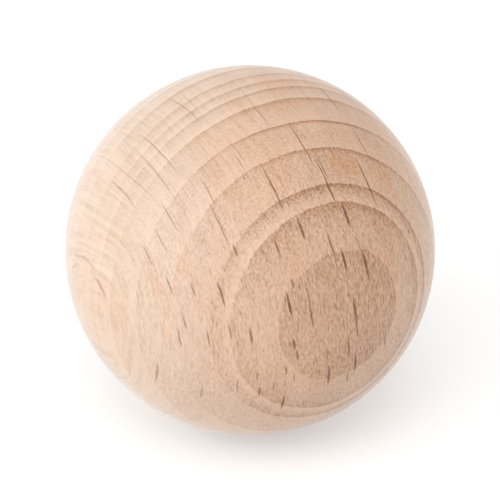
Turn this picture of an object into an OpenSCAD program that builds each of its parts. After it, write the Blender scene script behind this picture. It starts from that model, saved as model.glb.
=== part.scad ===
// Turned beech ball: one solid sphere, sanded smooth, with no bore, flat or fixing.
// Millimetres, +Z up, origin at the centre of the ball.

/* [Ball] */
// Diameter of the finished ball
ball_d = 50; // [10:0.5:120]

/* [Hidden] */

// Facets round the ball's equator
ball_facets = 180;

// Pale beech with a little pink
beech_colour = [0.88, 0.74, 0.60];

// The whole ball, as it leaves the lathe and the sander
module ball() {
    color(beech_colour)
        sphere(d = ball_d, $fn = ball_facets);
}

ball();
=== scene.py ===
"""A turned beech ball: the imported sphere, dressed as raw sanded beech, on a pale studio floor."""

import math
from types import SimpleNamespace

import bpy
import numpy as np
from mathutils import Matrix, Vector


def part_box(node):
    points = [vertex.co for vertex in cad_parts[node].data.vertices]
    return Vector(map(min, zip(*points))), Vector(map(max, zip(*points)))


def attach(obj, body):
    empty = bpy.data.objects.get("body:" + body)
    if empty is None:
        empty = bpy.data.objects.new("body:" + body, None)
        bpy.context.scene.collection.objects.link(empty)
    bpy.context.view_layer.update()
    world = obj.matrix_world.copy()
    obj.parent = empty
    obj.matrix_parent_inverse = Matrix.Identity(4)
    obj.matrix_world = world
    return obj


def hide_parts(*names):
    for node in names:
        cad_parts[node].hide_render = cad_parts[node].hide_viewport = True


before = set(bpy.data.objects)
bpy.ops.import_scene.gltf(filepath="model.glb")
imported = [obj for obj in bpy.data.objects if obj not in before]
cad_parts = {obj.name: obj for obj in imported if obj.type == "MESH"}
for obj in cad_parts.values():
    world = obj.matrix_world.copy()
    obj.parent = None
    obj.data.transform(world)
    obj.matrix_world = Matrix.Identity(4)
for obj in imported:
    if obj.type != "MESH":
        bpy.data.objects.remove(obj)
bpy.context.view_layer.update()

MM = 0.001
LOW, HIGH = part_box("ball")
CENTRE = (LOW + HIGH) / 2
BALL_R = (HIGH.z - LOW.z) / 2
BALL_R_MM = BALL_R / MM

# The photograph's view: the ball's circle and the two poles of its grain, in pixels of the 500 x 500 frame
BALL_CENTRE_PX = (151.3, 190.2)
BALL_RADIUS_PX = 95.2
RING_POLE_PX = (196.2, 225.1)
FIBRE_POLE_PX = (138.7, 107.4)

# The camera looks along +Y from above; the view's own axes in the row frame
ELEVATION = math.radians(30)
VIEW_BACK = Vector((0, -math.cos(ELEVATION), math.sin(ELEVATION)))
VIEW_RIGHT = Vector((1, 0, 0))
VIEW_UP = VIEW_BACK.cross(VIEW_RIGHT)
LENS_MM = 400
SENSOR_MM = 36
BALL_SHARE = 0.74  # of the frame's width

# The mesh: a cube's faces blown up to a sphere, with late wood standing a little proud
CELLS = 128
RELIEF_MM = 0.005
RELIEF_BEFORE_MM = 0.9
RELIEF_AFTER_MM = 0.45
MAP_GUTTER = 2 / 1024
MERGE_DIGITS = 6  # vertices that agree to so many digits are one

# Lengths in the wood are in mm along the grain's axes: tangent (across), fibre (along) and ring (up)

# Growth rings from above the ring pole inwards: width and late wood's width in mm, then how much
# the late wood browns, the ring's end darkens and its start pales
FIRST_RING_MM = -2.6
GROWTH_RINGS = (
    (4.3, 3.2, 0.14, 0.02, 0.00),
    (2.9, 1.7, 0.18, 0.11, 0.10),
    (1.6, 1.1, 0.26, 0.16, 0.25),
    (4.15, 1.4, 0.11, 0.24, 0.11),
    (4.15, 1.1, 0.11, 0.27, 0.17),
    (4.3, 1.8, 0.17, 0.15, 0.15),
    (2.7, 1.2, 0.17, 0.12, 0.19),
    (2.0, 1.2, 0.18, 0.09, 0.16),
    (2.3, 1.2, 0.16, 0.10, 0.14),
    (3.7, 1.8, 0.18, 0.14, 0.05),
    (3.1, 1.3, 0.14, 0.12, 0.10),
    (2.4, 1.1, 0.10, 0.18, 0.18),
    (3.6, 1.5, 0.12, 0.14, 0.20),
    (2.8, 1.2, 0.16, 0.10, 0.16),
    (3.3, 1.4, 0.10, 0.18, 0.20),
    (2.2, 1.0, 0.14, 0.12, 0.22),
    (3.9, 2.0, 0.12, 0.14, 0.16),
)
LINE_SHARE = 0.55  # of the late wood's width
LINE_FULL_SHARE = 0.2  # of the line's width, where it is darkest
EDGE_MM = 0.28  # the dark edge where a ring ends
EDGE_FULL_MM = 0.05
EDGE_DARKNESS = 0.6  # against the line's
EARLY_SHARE = 0.60  # of the ring's width

# Slow waves that bend the rings: height, turns in rad per mm along the axes, start in rad
RING_WAVES = (
    (0.22, (-0.143, 0.0, 0.268), -0.06),
    (0.08, (0.05, 0.16, 0.0), 0.9),
    (0.05, (0.42, 0.10, 0.12), 4.0),
    (0.03, (0.95, 0.25, -0.20), 1.3),
)

# Noise: the size of its blobs, detail and roughness
FINE_RAYS = ((0.45, 1.6, 12.0), 3.0, 0.65)
SHEET_RAYS = ((0.24, 4.0, 11.0), 3.0, 0.6)
THREADS = ((0.19, 1.4, 0.21), 3.0, 0.6)
SPECKLE = ((0.23, 0.8, 0.28), 1.0, 0.5)
PATCHES = ((3.3, 10.0, 8.3), 2.0, 0.5)

# Swings about a place: the size of the noise, how far it mostly reaches, and detail
FIBRE_SWAY = ((20.0, 20.0, 10.0), 0.5, 0.0)
FIBRE_LIFT = ((20.0, 20.0, 10.0), 0.8, 0.0)
LIFT_PLACE = (140.0, 60.0, 50.0)  # where the lift's noise is read, away from the sway's
RING_WOBBLE = ((1.1, 2.0, 3.3), 0.035, 2.0)
RAY_WOBBLE = ((1.0, 1.0, 1.0), 0.05, 2.0)
RING_FUZZ_MM = 0.15  # how far fine rays shift a ring

# Strips between rays: their size, how soft their edges are, how far they shift a ring,
# and how they are shuffled from ring to ring
STRIP_MM = (2.4, 16.0, math.inf)
STRIP_SMOOTHNESS = 0.15
STRIP_STEP_MM = 0.05
STRIP_SHUFFLE = (37.0, 53.0)

# Rays that stand out in the photograph: how dark, half their width, then each one's middle in pixels
# and its height
TALL_RAYS = (
    (0.97, 0.23, (
        (199.5, 173, 2.4),
        (177, 180, 2.1),
        (198.5, 195.5, 2.5),
        (209.5, 198, 3.2),
        (171, 217.5, 2.9),
        (204, 220, 3.0),
        (173.5, 237.5, 1.4),
        (204.5, 247, 3.0),
        (191, 253.5, 3.0),
        (168, 267, 2.4),
    )),
    (0.80, 0.175, (
        (192, 188, 3.0),
        (165, 189, 1.8),
        (182, 223, 3.3),
        (205, 228.5, 2.6),
        (175, 243, 1.3),
        (201, 239.5, 3.2),
        (219.5, 236, 2.0),
        (200.5, 254.5, 1.6),
        (169.5, 250.5, 1.3),
        (163.3, 160, 3.8),
        (210.4, 156.8, 4.8),
        (191.6, 161.0, 2.4),
        (137.3, 212.5, 2.8),
        (156.1, 261.5, 1.3),
        (172.6, 207, 1.2),
        (152, 233.5, 2.4),
        (144, 190.5, 1.2),
    )),
    (0.60, 0.125, (
        (180.5, 213, 2.3),
        (190, 241.5, 1.9),
        (173.5, 254.5, 1.2),
        (163.5, 258.5, 1.6),
        (205.5, 187, 1.3),
        (194.5, 218.5, 1.0),
        (155, 253.3, 1.6),
        (145, 258.3, 2.0),
        (141.3, 230.8, 2.0),
        (130.6, 234.6, 2.4),
        (126.9, 262, 2.2),
        (111.2, 208, 1.9),
        (123, 210, 1.5),
        (118.7, 226.5, 1.4),
        (116, 234, 2.4),
        (104.5, 252, 3.0),
        (136.5, 178, 4.4),
        (187.5, 148.5, 3.1),
    )),
)
TALL_HALF_SHARE = 0.68  # of the height that shows, because the tips are too thin to see
TALL_REACH_MM = 22.0

# Rays that the surface cuts lengthways: how dark, then each one's middle in pixels, its height and length
LONG_RAYS = (
    (0.85, (
        (177.6, 137.6, 7.0, 9.0),
        (188.5, 153.3, 7.0, 9.0),
        (191.5, 113.0, 5.0, 9.0),
        (207.0, 135.5, 6.0, 6.0),
    )),
    (0.50, (
        (105.2, 140.0, 6.5, 13.0),
        (105.2, 152.4, 6.5, 12.0),
        (106.5, 185.0, 4.4, 3.6),
        (100.0, 192.5, 4.4, 3.4),
        (111.1, 173.4, 5.2, 5.6),
        (87.6, 161.0, 5.6, 8.0),
        (130.6, 161.0, 5.2, 6.5),
        (117.0, 117.4, 6.5, 11.0),
        (146.4, 146.6, 3.0, 3.0),
        (157.0, 122.5, 4.4, 8.0),
    )),
    (0.46, (
        (76.3, 209.1, 4.4, 4.4),
    )),
    (0.26, (
        (67.3, 194.3, 4.5, 9.0),
        (62.6, 197.8, 5.0, 4.0),
    )),
)
LONG_HALF_WIDTH_MM = 0.10

# Rays at random: a shift of the pattern, its cells' size across and along the fibres, least and most
# half width and half length, and the share of cells that hold one
BROAD_RAYS = ((0.0, 0.0, 0.0), (1.7, 4.6), (0.09, 0.16), (0.7, 2.1), 0.75)
MIDDLE_RAYS = ((31.0, 17.0, 0.0), (0.9, 2.3), (0.05, 0.10), (0.35, 1.1), 0.85)
SMALL_RAYS = ((57.0, 91.0, 0.0), (0.55, 1.6), (0.08, 0.15), (0.4, 0.9), 0.9)
END_GRAIN_RAYS = ((11.0, 43.0, 0.0), (2.3, 9.0), (0.05, 0.09), (2.0, 4.5), 0.9)
RAY_SOFTNESS = 0.7
RAY_FADE_IN = 0.5

# How much of the middle rays shows, the more so in late wood, and how much of the end grain's
MIDDLE_SHARE = 0.40
MIDDLE_LATE_SHARE = 2.0
END_GRAIN_SHARE = 0.35

# Eased changes over the ball: where each starts and ends along an axis, and its value there
RAY_CUT = (0.0, 22.5, 0.30, 1.0)
END_CUT = (3.75, 20.0, 0.0, 1.0)
SIDE_CUT = (12.5, 23.75, 1.0, 0.2)
HIDDEN_SIDE = (12.0, 4.0, 0.0, 1.0)
# Painted washed-out light: towards the lit side the late wood's brown, the rings' pale starts and their lines
# fade, partly as the wood varies and partly standing in for glare
LIT_SIDE_BROWN_FADE = (-20.0, -2.0, 0.15, 1.0)
LIT_SIDE_EARLY_FADE = (-20.0, -6.0, 0.35, 1.0)
LIT_SIDE_LINE_FADE = (-15.0, 9.0, 0.08, 1.0)
LINE_FADE_RIGHT = (12.0, 20.0, 1.0, 0.2)
ROUGH_UP = (4.0, 20.0, 0.75, 1.60)
ROUGH_ACROSS = (-16.0, 4.0, 0.75, 1.25)
PALE_AND_LIT_RISE = (-14.0, 21.0, 0.0, 1.0)
PALE_AND_LIT_SIDE = (-0.80, 0.27, -0.53)  # the direction of the lit side, where the block is paler: partly its own tone, partly painted light

# Eased changes with a noise, a strip's chance or a squared distance in half sizes, in the same order
RAY_RAGGED = (0.25, 0.6, 0.7, 1.0)
LINE_RAGGED = (0.30, 0.65, 0.6, 1.1)
LINE_BY_STRIP = (0.0, 1.0, 0.75, 1.15)
WARM_BY_STRIP = (0.75, 1.0, 0.0, 0.35)
RAY_EDGE = (1.2, 0.1, 0.0)  # then the ray's own darkness
WARM_EDGE = (1.3, 0.5, 0.0)  # then the place's own warmth
FAR_AWAY = 9.0  # past any ray's edge

# Tone: its level between rings' starts and ends, and what each kind of grain adds
PLAIN_TONE = 0.58
TONE_SHARES = {
    "fine_rays": 0.50,
    "sheet_rays": 0.92,
    "threads": 0.58,
    "speckle": 0.54,
    "patches": 0.22,
    "strips": 0.07,
    "small_rays": -0.07,
}

# Colour: the block's darker side and its paler lit side as a screen shows them, the paler one partly the
# wood's tone and partly painted light, and tints by tone, warmth and ray
DARK_GROUND = (216, 179, 150)
PALE_AND_LIT_GROUND = (229, 205, 184)
TONE_TINTS = (
    (0.0, (0.52, 0.40, 0.30, 1.0)),
    (0.30, (0.80, 0.73, 0.66, 1.0)),
    (0.60, (1.0, 1.0, 1.0, 1.0)),
    (1.0, (1.16, 1.22, 1.28, 1.0)),
)
WARM_TINT = (1.0, 0.90, 0.81, 1.0)
RAY_TINT = (0.33, 0.17, 0.07, 1.0)
LINE_WARMTH = 4.0

# Warmer places in the block: the middle in pixels, half sizes, and how warm
WARM_PLACES = (
    ((197.7, 146.4), (2.3, 6.0, 1.6), 1.0),
    ((216.5, 151.5), (2.0, 5.0, 1.8), 0.7),
    ((150.0, 148.0), (6.0, 10.0, 6.0), 0.5),
    ((75.0, 226.0), (4.0, 8.0, 8.0), 0.5),
    ((170.5, 105.5), (4.6, 6.0, 2.0), 0.75),
    ((169.6, 117.4), (3.4, 5.0, 0.9), 0.7),
)

# Surface: roughness and what threads add to it, the fine relief that a sander leaves,
# and the shader's other levels
ROUGHNESS = 0.36
THREAD_ROUGHNESS = 0.20
BUMP_STRENGTH = 0.6
BUMP_MM = 0.03
BUMP_LEVEL = 0.5
BUMP_SHARES = {"broad_rays": -0.9, "middle_rays": -0.35, "threads": 0.35}
SURFACE_LEVELS = {
    "Specular IOR Level": 0.4,
    "Diffuse Roughness": 0.5,
    "Sheen Weight": 0.7,
    "Sheen Roughness": 0.3,
}

# Stage: the floor's glow makes it white for the camera, and whiter still in reflections
FLOOR_HALF_M = 3.0
FLOOR_COLOUR = (0.75, 0.75, 0.75, 1.0)
FLOOR_GLOW = 0.42
FLOOR_GLOSS_GLOW = 0.55
ROOM_COLOUR = (1.0, 1.0, 1.0, 1.0)
ROOM_LIGHT = 0.60
ROOM_GLOW = 0.40

# Soft boxes: direction along the view's right, up and back, distance and size in m, and level
LAMPS = {
    "key": ((-0.80, 0.06, 0.70), 0.5, 0.4, 0.42),
    "fill": ((0.0, 0.50, 1.0), 1.2, 0.8, 0.32),
}


def from_pixel(pixel):
    """The direction, in the row frame, of a point of the ball's near side in the photograph."""
    x = (pixel[0] - BALL_CENTRE_PX[0]) / BALL_RADIUS_PX
    y = (BALL_CENTRE_PX[1] - pixel[1]) / BALL_RADIUS_PX
    z = math.sqrt(1 - x * x - y * y)
    return x * VIEW_RIGHT + y * VIEW_UP + z * VIEW_BACK


def grain_axes():
    """Rows that turn a point of the ball to tangent, fibre and ring coordinates."""
    ring = from_pixel(RING_POLE_PX).normalized()
    fibre = from_pixel(FIBRE_POLE_PX)
    fibre = (fibre - fibre.dot(ring) * ring).normalized()
    return Matrix((fibre.cross(ring), fibre, ring))


GRAIN = grain_axes()
RING_ENDS = FIRST_RING_MM + np.cumsum([ring[0] for ring in GROWTH_RINGS])
SEEN_SIDE = GRAIN @ VIEW_BACK


# Mesh


def cube_sphere(cells):
    """Vertices, quads and map places of a sphere of radius 1 made from a cube, in even steps of angle."""
    steps = np.tan(np.linspace(-math.pi / 4, math.pi / 4, cells + 1))
    across, along = np.meshgrid(steps, steps, indexing="ij")
    sides = []
    for axis in range(3):
        for sign in (1.0, -1.0):
            point = np.empty((cells + 1, cells + 1, 3))
            point[..., axis] = sign
            point[..., (axis + 1) % 3] = across * sign
            point[..., (axis + 2) % 3] = along
            sides.append(point.reshape(-1, 3))
    points = np.concatenate(sides)
    points /= np.linalg.norm(points, axis=1, keepdims=True)
    corner = np.arange((cells + 1) ** 2).reshape(cells + 1, cells + 1)
    quad = np.stack([corner[:-1, :-1], corner[1:, :-1], corner[1:, 1:], corner[:-1, 1:]], -1).reshape(-1, 4)
    quads = np.concatenate([quad + i * corner.size for i in range(6)])
    # the six sides share their edges, so vertices in one place become one
    _, first, same = np.unique(np.round(points, MERGE_DIGITS), axis=0, return_index=True, return_inverse=True)
    return points[first], same.reshape(-1)[quads], map_places(cells)[quads]


def map_places(cells):
    """The sides' places in the map, three across and two up, with a gutter round each."""
    share = np.stack(np.meshgrid(*[np.linspace(0, 1, cells + 1)] * 2, indexing="ij"), -1).reshape(-1, 2)
    cell = np.array([1 / 3, 1 / 2])
    corners = [np.array([i % 3, i // 3]) * cell + MAP_GUTTER for i in range(6)]
    return np.concatenate([corner + share * (cell - 2 * MAP_GUTTER) for corner in corners])


def ring_depth(grain_mm):
    """How deep a point lies below the ring pole, along the bent rings, in mm."""
    depth = BALL_R_MM - grain_mm[:, 2]
    for height, turns, start in RING_WAVES:
        depth = depth + height * np.sin(grain_mm @ np.array(turns) + start)
    return depth


def relief(directions):
    """Height against the sphere in mm: 0 on late wood, and lower where softer wood sands down."""
    grain_mm = directions @ np.array(GRAIN).T * BALL_R_MM
    depth = ring_depth(grain_mm)
    gap = depth[:, None] - RING_ENDS
    spread = np.where(gap < 0, RELIEF_BEFORE_MM, RELIEF_AFTER_MM)
    rise = np.clip(1 - np.abs(gap) / spread, 0, 1).max(axis=1)
    return RELIEF_MM * (rise * rise * (3 - 2 * rise) - 1)


def make_ball():
    """The ball's fine mesh, with its map for baking."""
    directions, quads, places = cube_sphere(CELLS)
    radius = BALL_R + relief(directions) * MM
    mesh = bpy.data.meshes.new("beech_ball")
    mesh.from_pydata((directions * radius[:, None] + np.array(CENTRE)).tolist(), [], quads.tolist())
    layer = mesh.uv_layers.new(name="OFBake")
    layer.uv.foreach_set("vector", places.astype(np.float32).ravel())
    mesh.polygons.foreach_set("use_smooth", np.ones(len(quads), bool))
    mesh.update()
    piece = bpy.data.objects.new("beech_ball", mesh)
    bpy.context.scene.collection.objects.link(piece)
    return piece


# Material


class Graph:
    """Adds nodes to a shader and links them. A value is a number, a tuple or another node's output."""

    def __init__(self, tree):
        self.tree = tree

    def node(self, kind, **settings):
        made = self.tree.nodes.new(kind)
        for name, value in settings.items():
            setattr(made, name, value)
        return made

    def feed(self, socket, value):
        if isinstance(value, bpy.types.NodeSocket):
            self.tree.links.new(value, socket)
        else:
            socket.default_value = value

    def math(self, operation, *values):
        made = self.node("ShaderNodeMath", operation=operation)
        for socket, value in zip(made.inputs, values):
            self.feed(socket, value)
        return made.outputs[0]

    def product(self, first, *others):
        for other in others:
            first = self.math("MULTIPLY", first, other)
        return first

    def vector(self, operation, *values):
        made = self.node("ShaderNodeVectorMath", operation=operation)
        for socket, value in zip(made.inputs, values):
            self.feed(socket, value)
        return made.outputs["Value" if operation == "DOT_PRODUCT" else "Vector"]

    def ease(self, value, start, end, low=0.0, high=1.0):
        """A smooth step from low at start to high at end."""
        made = self.node("ShaderNodeMapRange", interpolation_type="SMOOTHSTEP")
        for socket, given in zip(made.inputs, (value, start, end, low, high)):
            self.feed(socket, given)
        return made.outputs[0]

    def shrink(self, place, size):
        """Places in steps of size, in mm along each axis."""
        return self.vector("MULTIPLY", place, [1 / s for s in size])

    def noise(self, place, size, detail, roughness=0.5):
        """Noise from 0 to 1, in blobs of about the given size in mm along each axis."""
        made = self.node("ShaderNodeTexNoise")
        for name, given in (("Scale", 1.0), ("Detail", detail), ("Roughness", roughness)):
            made.inputs[name].default_value = given
        self.feed(made.inputs["Vector"], self.shrink(place, size))
        return made.outputs["Fac"]

    def swing(self, place, size, reach, detail):
        """Noise about 0, that mostly stays within reach."""
        return self.math("MULTIPLY_ADD", self.noise(place, size, detail), 4 * reach, -2 * reach)

    def about(self, value):
        """A value from 0 to 1, brought to lie about 0."""
        return self.math("SUBTRACT", value, 0.5)

    def mix(self, share, first, second, blend="MIX"):
        made = self.node("ShaderNodeMix", data_type="RGBA", blend_type=blend)
        for index, given in ((0, share), (6, first), (7, second)):
            self.feed(made.inputs[index], given)
        return made.outputs[2]

    def join(self, x, y, z):
        made = self.node("ShaderNodeCombineXYZ")
        for socket, given in zip(made.inputs, (x, y, z)):
            self.feed(socket, given)
        return made.outputs[0]

    def split(self, value, kind="XYZ"):
        made = self.node("ShaderNodeSeparate" + kind)
        self.feed(made.inputs[0], value)
        return made.outputs


def srgb(red, green, blue):
    """A colour as a screen shows it, from 0 to 255, in the linear values that a shader takes."""
    values = [c / 255 for c in (red, green, blue)]
    return (*[c / 12.92 if c <= 0.04045 else ((c + 0.055) / 1.055) ** 2.4 for c in values], 1.0)


def grain_place(g):
    """The shaded point in mm along the tangent, fibre and ring axes."""
    turned = g.node("ShaderNodeMapping")
    turned.inputs["Rotation"].default_value = GRAIN.to_euler()
    turned.inputs["Scale"].default_value = (1 / MM,) * 3
    g.feed(turned.inputs["Vector"], g.node("ShaderNodeTexCoord").outputs["Object"])
    return turned.outputs[0]


def mosaic(g, place):
    """Random colours in strips between rays, each a few mm across the fibres."""
    strips = g.node("ShaderNodeTexVoronoi", voronoi_dimensions="2D", feature="SMOOTH_F1")
    g.feed(strips.inputs["Vector"], g.shrink(place, STRIP_MM))
    strips.inputs["Scale"].default_value = 1.0
    strips.inputs["Smoothness"].default_value = STRIP_SMOOTHNESS
    return g.split(strips.outputs["Color"], "Color")


def bent_depth(g, place, fuzz):
    """How deep a point lies below the ring pole, along rings that are bent and a little uneven."""
    depth = g.math("SUBTRACT", BALL_R_MM, g.split(place)[2])
    for height, turns, start in RING_WAVES:
        angle = g.math("ADD", g.vector("DOT_PRODUCT", place, turns), start)
        depth = g.math("MULTIPLY_ADD", g.math("SINE", angle), height, depth)
    step = g.math("MULTIPLY_ADD", mosaic(g, place)[0], STRIP_STEP_MM, -STRIP_STEP_MM / 2)
    depth = g.math("ADD", depth, step)
    depth = g.math("ADD", depth, g.swing(place, *RING_WOBBLE))
    return g.math("MULTIPLY_ADD", fuzz, RING_FUZZ_MM, depth)


def growth_ring(g, place, fuzz):
    """The ring at a point: mm since its start and until its end, its row of GROWTH_RINGS and its strips."""
    depth = bent_depth(g, place, fuzz)
    begun, values = FIRST_RING_MM, GROWTH_RINGS[0]
    for end, ring, following in zip(RING_ENDS, GROWTH_RINGS, GROWTH_RINGS[1:]):
        past = g.math("GREATER_THAN", depth, float(end))
        begun = g.math("MULTIPLY_ADD", past, ring[0], begun)
        values = [
            g.math("MULTIPLY_ADD", past, after - before, value)
            for value, before, after in zip(values, ring, following)
        ]
    width, late_width, browning, darkening, paling = values
    since = g.math("SUBTRACT", depth, begun)
    shuffle = g.join(*[g.math("MULTIPLY", begun, step) for step in STRIP_SHUFFLE], 0.0)
    return SimpleNamespace(
        since=since,
        until=g.math("SUBTRACT", width, since),
        width=width,
        late_width=late_width,
        browning=browning,
        darkening=darkening,
        paling=paling,
        strip=mosaic(g, g.vector("ADD", place, shuffle)),
    )


def spindles(g, place, shift, cell, half_width, half_length, kept):
    """Rays in cells across the fibres, each a spindle that runs on along the ring axis through the ball."""
    spread = g.shrink(g.vector("ADD", place, shift), (*cell, math.inf))
    cells = g.node("ShaderNodeTexVoronoi", voronoi_dimensions="2D", feature="F1")
    g.feed(cells.inputs["Vector"], spread)
    cells.inputs["Scale"].default_value = 1.0
    away = g.vector("SUBTRACT", spread, cells.outputs["Position"])
    away = g.split(g.vector("MULTIPLY", away, (*cell, 0.0)))
    chance = g.split(cells.outputs["Color"], "Color")
    length = g.math("MULTIPLY_ADD", chance[0], half_length[1] - half_length[0], half_length[0])
    width = g.math("MULTIPLY_ADD", chance[1], half_width[1] - half_width[0], half_width[0])
    along = g.math("POWER", g.math("DIVIDE", away[1], length), 2.0)
    across = g.math("DIVIDE", g.math("ABSOLUTE", away[0]), width)
    spindle = g.ease(g.math("SUBTRACT", g.math("SUBTRACT", 1.0, along), across), 0.0, RAY_SOFTNESS)
    shown = g.ease(chance[2], 1 - kept, min(1.0, 1 - kept + RAY_FADE_IN))
    return g.math("MULTIPLY", spindle, shown)


def blob(g, place, pixel, size):
    """Squared distance from the ball's point at a pixel, in half sizes: 1 on an ellipsoid along the grain."""
    middle = GRAIN @ from_pixel(pixel) * BALL_R_MM
    away = g.vector("MULTIPLY_ADD", place, [1 / s for s in size], [-m / s for m, s in zip(middle, size)])
    return g.vector("DOT_PRODUCT", away, away)


def ray_group(g, place, rays, darkness):
    """Rays at given pixels, each a long thin ellipsoid."""
    nearest = FAR_AWAY
    for pixel, size in rays:
        nearest = g.math("MINIMUM", nearest, blob(g, place, pixel, size))
    return g.ease(nearest, *RAY_EDGE, darkness)


def seen_rays(g, place):
    """The rays that the photograph shows."""
    shown = 0.0
    for darkness, half_width, rays in TALL_RAYS:
        shapes = [((x, y), (half_width, height * TALL_HALF_SHARE, TALL_REACH_MM)) for x, y, height in rays]
        shown = g.math("MAXIMUM", shown, ray_group(g, place, shapes, darkness))
    for darkness, rays in LONG_RAYS:
        shapes = [((x, y), (LONG_HALF_WIDTH_MM, height / 2, length / 2)) for x, y, height, length in rays]
        shown = g.math("MAXIMUM", shown, ray_group(g, place, shapes, darkness))
    return shown


def block_of_wood(g):
    """What the wood is like at a point: its place, its fine grain, and how squarely the surface cuts it."""
    place = grain_place(g)
    across, along, up = g.split(place)
    # rays and fibres wander a little on their way through the wood
    sway = g.swing(place, *FIBRE_SWAY)
    lift = g.swing(g.vector("ADD", place, LIFT_PLACE), *FIBRE_LIFT)
    wander = g.join(g.math("ADD", across, sway), g.math("ADD", along, lift), up)
    height = g.math("ABSOLUTE", up)
    return SimpleNamespace(
        place=place,
        across=across,
        wander=wander,
        fine_rays=g.noise(wander, *FINE_RAYS),
        sheet_rays=g.noise(wander, *SHEET_RAYS),
        threads=g.noise(wander, *THREADS),
        speckle=g.noise(wander, *SPECKLE),
        patches=g.noise(wander, *PATCHES),
        ray_cut=g.ease(height, *RAY_CUT),
        end_cut=g.ease(g.math("ABSOLUTE", along), *END_CUT),
        side_cut=g.ease(g.math("ABSOLUTE", across), *SIDE_CUT),
        rough=g.math("MULTIPLY", g.ease(height, *ROUGH_UP), g.ease(across, *ROUGH_ACROSS)),
    )


def broad_rays(g, wood):
    """Broad rays, at random only where the photograph shows none."""
    hidden = g.ease(g.vector("DOT_PRODUCT", wood.place, SEEN_SIDE), *HIDDEN_SIDE)
    guessed = g.product(spindles(g, wood.wander, *BROAD_RAYS), hidden, wood.ray_cut, wood.side_cut)
    wobble = g.join(g.swing(wood.wander, *RAY_WOBBLE), 0.0, 0.0)
    shown = seen_rays(g, g.vector("ADD", wood.place, wobble))
    return g.math("MULTIPLY", g.math("MAXIMUM", guessed, shown), g.ease(wood.fine_rays, *RAY_RAGGED))


def ring_line(g, wood, ring):
    """The dark ragged line in which a ring ends."""
    width = g.math("MULTIPLY", ring.late_width, LINE_SHARE)
    line = g.ease(ring.until, width, g.math("MULTIPLY", width, LINE_FULL_SHARE))
    line = g.math("MULTIPLY_ADD", g.ease(ring.until, EDGE_MM, EDGE_FULL_MM), EDGE_DARKNESS, line)
    ragged = g.product(g.ease(wood.fine_rays, *LINE_RAGGED), g.ease(ring.strip[1], *LINE_BY_STRIP))
    # the lines fade towards the lit side, partly painted washed-out light, and fade on the other side too
    faded = g.product(g.ease(wood.across, *LIT_SIDE_LINE_FADE), g.ease(wood.across, *LINE_FADE_RIGHT))
    return g.product(line, ring.darkening, ragged, faded)


def late_brown(g, wood, ring):
    """How brown the late wood is, more so towards the ring's end."""
    rise = g.ease(ring.until, ring.late_width, 0.0)
    # the brown fades towards the lit side, partly painted washed-out light
    return g.product(rise, ring.browning, g.ease(wood.across, *LIT_SIDE_BROWN_FADE))


def early_pale(g, wood, ring):
    """How pale the wood is at a ring's start."""
    rise = g.ease(g.math("DIVIDE", ring.since, ring.width), EARLY_SHARE, 0.0)
    # the pale start fades towards the lit side, partly painted washed-out light
    return g.product(rise, ring.paling, g.ease(wood.across, *LIT_SIDE_EARLY_FADE))


def wood_tone(g, wood, ring, brown, line):
    """How light the wood is at a point, from 0 to 1."""
    tone = g.math("ADD", early_pale(g, wood, ring), PLAIN_TONE)
    tone = g.math("SUBTRACT", g.math("SUBTRACT", tone, brown), line)
    along_rays = g.math("SUBTRACT", 1.0, wood.side_cut)
    grain = {
        "fine_rays": g.math("MULTIPLY", g.about(wood.fine_rays), wood.side_cut),
        "sheet_rays": g.math("MULTIPLY", g.about(wood.sheet_rays), along_rays),
        "threads": g.math("MULTIPLY", g.about(wood.threads), wood.rough),
        "speckle": g.math("MULTIPLY", g.about(wood.speckle), wood.rough),
        "patches": g.about(wood.patches),
        "strips": g.about(ring.strip[0]),
        "small_rays": g.math("MULTIPLY", spindles(g, wood.wander, *SMALL_RAYS), wood.rough),
    }
    for name, value in grain.items():
        tone = g.math("MULTIPLY_ADD", value, TONE_SHARES[name], tone)
    return tone


def tinted_ground(g, wood, tone):
    """The block's colour, paler towards the lit side, partly its own tone and partly painted light, tinted by
    tone.
    """
    # painted light: the block pales towards the side that the key lamp lights, on top of its own paler tone
    # there
    pale = g.ease(g.vector("DOT_PRODUCT", wood.place, PALE_AND_LIT_SIDE), *PALE_AND_LIT_RISE)
    ground = g.mix(pale, srgb(*DARK_GROUND), srgb(*PALE_AND_LIT_GROUND))
    ramp = g.node("ShaderNodeValToRGB")
    stops = ramp.color_ramp.elements
    stops.remove(stops[1])
    stops[0].color = TONE_TINTS[0][1]
    for at, tint in TONE_TINTS[1:]:
        stops.new(at).color = tint
    g.feed(ramp.inputs[0], tone)
    return g.mix(1.0, ground, ramp.outputs[0], "MULTIPLY")


def warmth(g, wood, ring, line):
    """How warm the wood is: single strips between rays, some places, and the lines where rings end."""
    warm = g.ease(ring.strip[2], *WARM_BY_STRIP)
    for pixel, size, share in WARM_PLACES:
        warm = g.math("MAXIMUM", warm, g.ease(blob(g, wood.wander, pixel, size), *WARM_EDGE, share))
    return g.math("MAXIMUM", warm, g.math("MULTIPLY", line, LINE_WARMTH))


def ray_darkness(g, wood, brown, broad, middle):
    """How dark rays are: most where they are cut across, at the ring poles, and least along the surface."""
    share = g.math("MULTIPLY_ADD", brown, MIDDLE_LATE_SHARE, MIDDLE_SHARE)
    dark = g.math("MAXIMUM", g.product(middle, share, wood.ray_cut, wood.side_cut), broad)
    on_end = g.product(spindles(g, wood.wander, *END_GRAIN_RAYS), wood.end_cut, END_GRAIN_SHARE)
    return g.math("MAXIMUM", dark, on_end)


def fine_relief(g, wood, broad, middle):
    """The normal of a sanded surface, with open rays and standing fibres."""
    height = BUMP_LEVEL
    for name, value in (("broad_rays", broad), ("middle_rays", middle), ("threads", wood.threads)):
        height = g.math("MULTIPLY_ADD", value, BUMP_SHARES[name], height)
    bump = g.node("ShaderNodeBump")
    bump.inputs["Strength"].default_value = BUMP_STRENGTH
    bump.inputs["Distance"].default_value = BUMP_MM * MM
    g.feed(bump.inputs["Height"], height)
    return bump.outputs[0]


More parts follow.
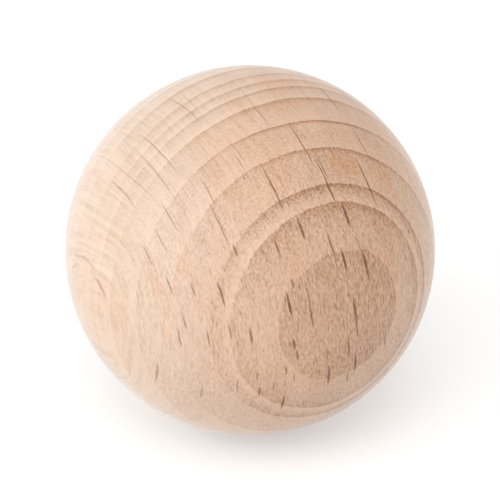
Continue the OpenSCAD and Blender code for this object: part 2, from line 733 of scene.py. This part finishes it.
def beech_material():
    """Raw sanded beech, cut from one block: rings, rays, fibres and tone all run through the ball."""
    material = bpy.data.materials.new("raw_beech")
    material.use_nodes = True
    g = Graph(material.node_tree)
    wood = block_of_wood(g)
    ring = growth_ring(g, wood.wander, g.about(wood.fine_rays))
    broad = broad_rays(g, wood)
    middle = spindles(g, wood.wander, *MIDDLE_RAYS)
    line = ring_line(g, wood, ring)
    brown = late_brown(g, wood, ring)

    colour = tinted_ground(g, wood, wood_tone(g, wood, ring, brown, line))
    colour = g.mix(warmth(g, wood, ring, line), colour, WARM_TINT, "MULTIPLY")
    colour = g.mix(ray_darkness(g, wood, brown, broad, middle), colour, RAY_TINT, "MULTIPLY")

    shader = material.node_tree.nodes["Principled BSDF"].inputs
    g.feed(shader["Base Color"], colour)
    g.feed(shader["Roughness"], g.math("MULTIPLY_ADD", wood.threads, THREAD_ROUGHNESS, ROUGHNESS))
    g.feed(shader["Normal"], fine_relief(g, wood, broad, middle))
    for name, level in SURFACE_LEVELS.items():
        shader[name].default_value = level
    return material


# Stage


def background_rays(g):
    """1 for rays that show the background, straight or through the object, and 1 for reflections alone."""
    rays = g.node("ShaderNodeLightPath").outputs
    glossy = rays["Is Glossy Ray"]
    indirect = g.math("MAXIMUM", glossy, rays["Is Transmission Ray"])
    return g.math("MAXIMUM", rays["Is Camera Ray"], indirect), glossy


def stage_material():
    """White paper for the camera, plain pale matt for the light on the ball, and clear from below."""
    material = bpy.data.materials.new("pale_floor")
    material.use_nodes = True
    g = Graph(material.node_tree)
    nodes = material.node_tree.nodes
    nodes.remove(nodes["Principled BSDF"])
    paper = g.node("ShaderNodeBsdfDiffuse")
    paper.inputs["Color"].default_value = FLOOR_COLOUR
    glow = g.node("ShaderNodeEmission")
    seen, glossy = background_rays(g)
    level = g.math("MULTIPLY_ADD", glossy, FLOOR_GLOSS_GLOW, g.math("MULTIPLY", seen, FLOOR_GLOW))
    g.feed(glow.inputs["Strength"], level)
    lit = g.node("ShaderNodeAddShader")
    g.feed(lit.inputs[0], paper.outputs[0])
    g.feed(lit.inputs[1], glow.outputs[0])
    side = g.node("ShaderNodeMixShader")
    g.feed(side.inputs[0], g.node("ShaderNodeNewGeometry").outputs["Backfacing"])
    g.feed(side.inputs[1], lit.outputs[0])
    g.feed(side.inputs[2], g.node("ShaderNodeBsdfTransparent").outputs[0])
    g.feed(nodes["Material Output"].inputs["Surface"], side.outputs[0])
    return material


def make_floor():
    """A plain pale floor at the ball's lowest point."""
    mesh = bpy.data.meshes.new("floor")
    signs = ((-1, -1), (1, -1), (1, 1), (-1, 1))
    mesh.from_pydata([(x * FLOOR_HALF_M, y * FLOOR_HALF_M, LOW.z) for x, y in signs], [], [(0, 1, 2, 3)])
    floor = bpy.data.objects.new("floor", mesh)
    bpy.context.scene.collection.objects.link(floor)
    floor.data.materials.append(stage_material())


def make_world():
    """A white room: white where it is seen, and a plain level of light from all round."""
    world = bpy.data.worlds.new("white_room")
    world.use_nodes = True
    bpy.context.scene.world = world
    g = Graph(world.node_tree)
    seen, _ = background_rays(g)
    back = world.node_tree.nodes["Background"]
    back.inputs["Color"].default_value = ROOM_COLOUR
    g.feed(back.inputs["Strength"], g.math("MULTIPLY_ADD", seen, ROOM_GLOW, ROOM_LIGHT))


def make_lamp(name, direction, distance, size, level):
    """A square soft box. Level is how much it adds to a white surface that faces it."""
    lamp = bpy.data.lights.new(name, "AREA")
    lamp.shape = "SQUARE"
    lamp.size = size
    lamp.energy = level * math.pi**2 * distance**2
    holder = bpy.data.objects.new(name, lamp)
    right, up, back = direction
    towards = (right * VIEW_RIGHT + up * VIEW_UP + back * VIEW_BACK).normalized()
    holder.location = CENTRE + towards * distance
    holder.visible_camera = False
    holder.rotation_euler = towards.to_track_quat("Z", "Y").to_euler()
    bpy.context.scene.collection.objects.link(holder)


def make_camera():
    """A long lens that looks down at the ball, which fills its share of the frame."""
    data = bpy.data.cameras.new("camera")
    data.lens = LENS_MM
    data.sensor_width = SENSOR_MM
    camera = bpy.data.objects.new("camera", data)
    distance = 2 * BALL_R / BALL_SHARE * LENS_MM / SENSOR_MM
    camera.location = CENTRE + VIEW_BACK * distance
    camera.rotation_euler = VIEW_BACK.to_track_quat("Z", "Y").to_euler()
    bpy.context.scene.collection.objects.link(camera)
    bpy.context.scene.camera = camera


make_camera()
ball = make_ball()
ball.data.materials.append(beech_material())
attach(ball, "root")
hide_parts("ball")

make_floor()
make_world()
for lamp_name, lamp_values in LAMPS.items():
    make_lamp(lamp_name, *lamp_values)
bpy.context.scene.view_settings.view_transform = "Standard"
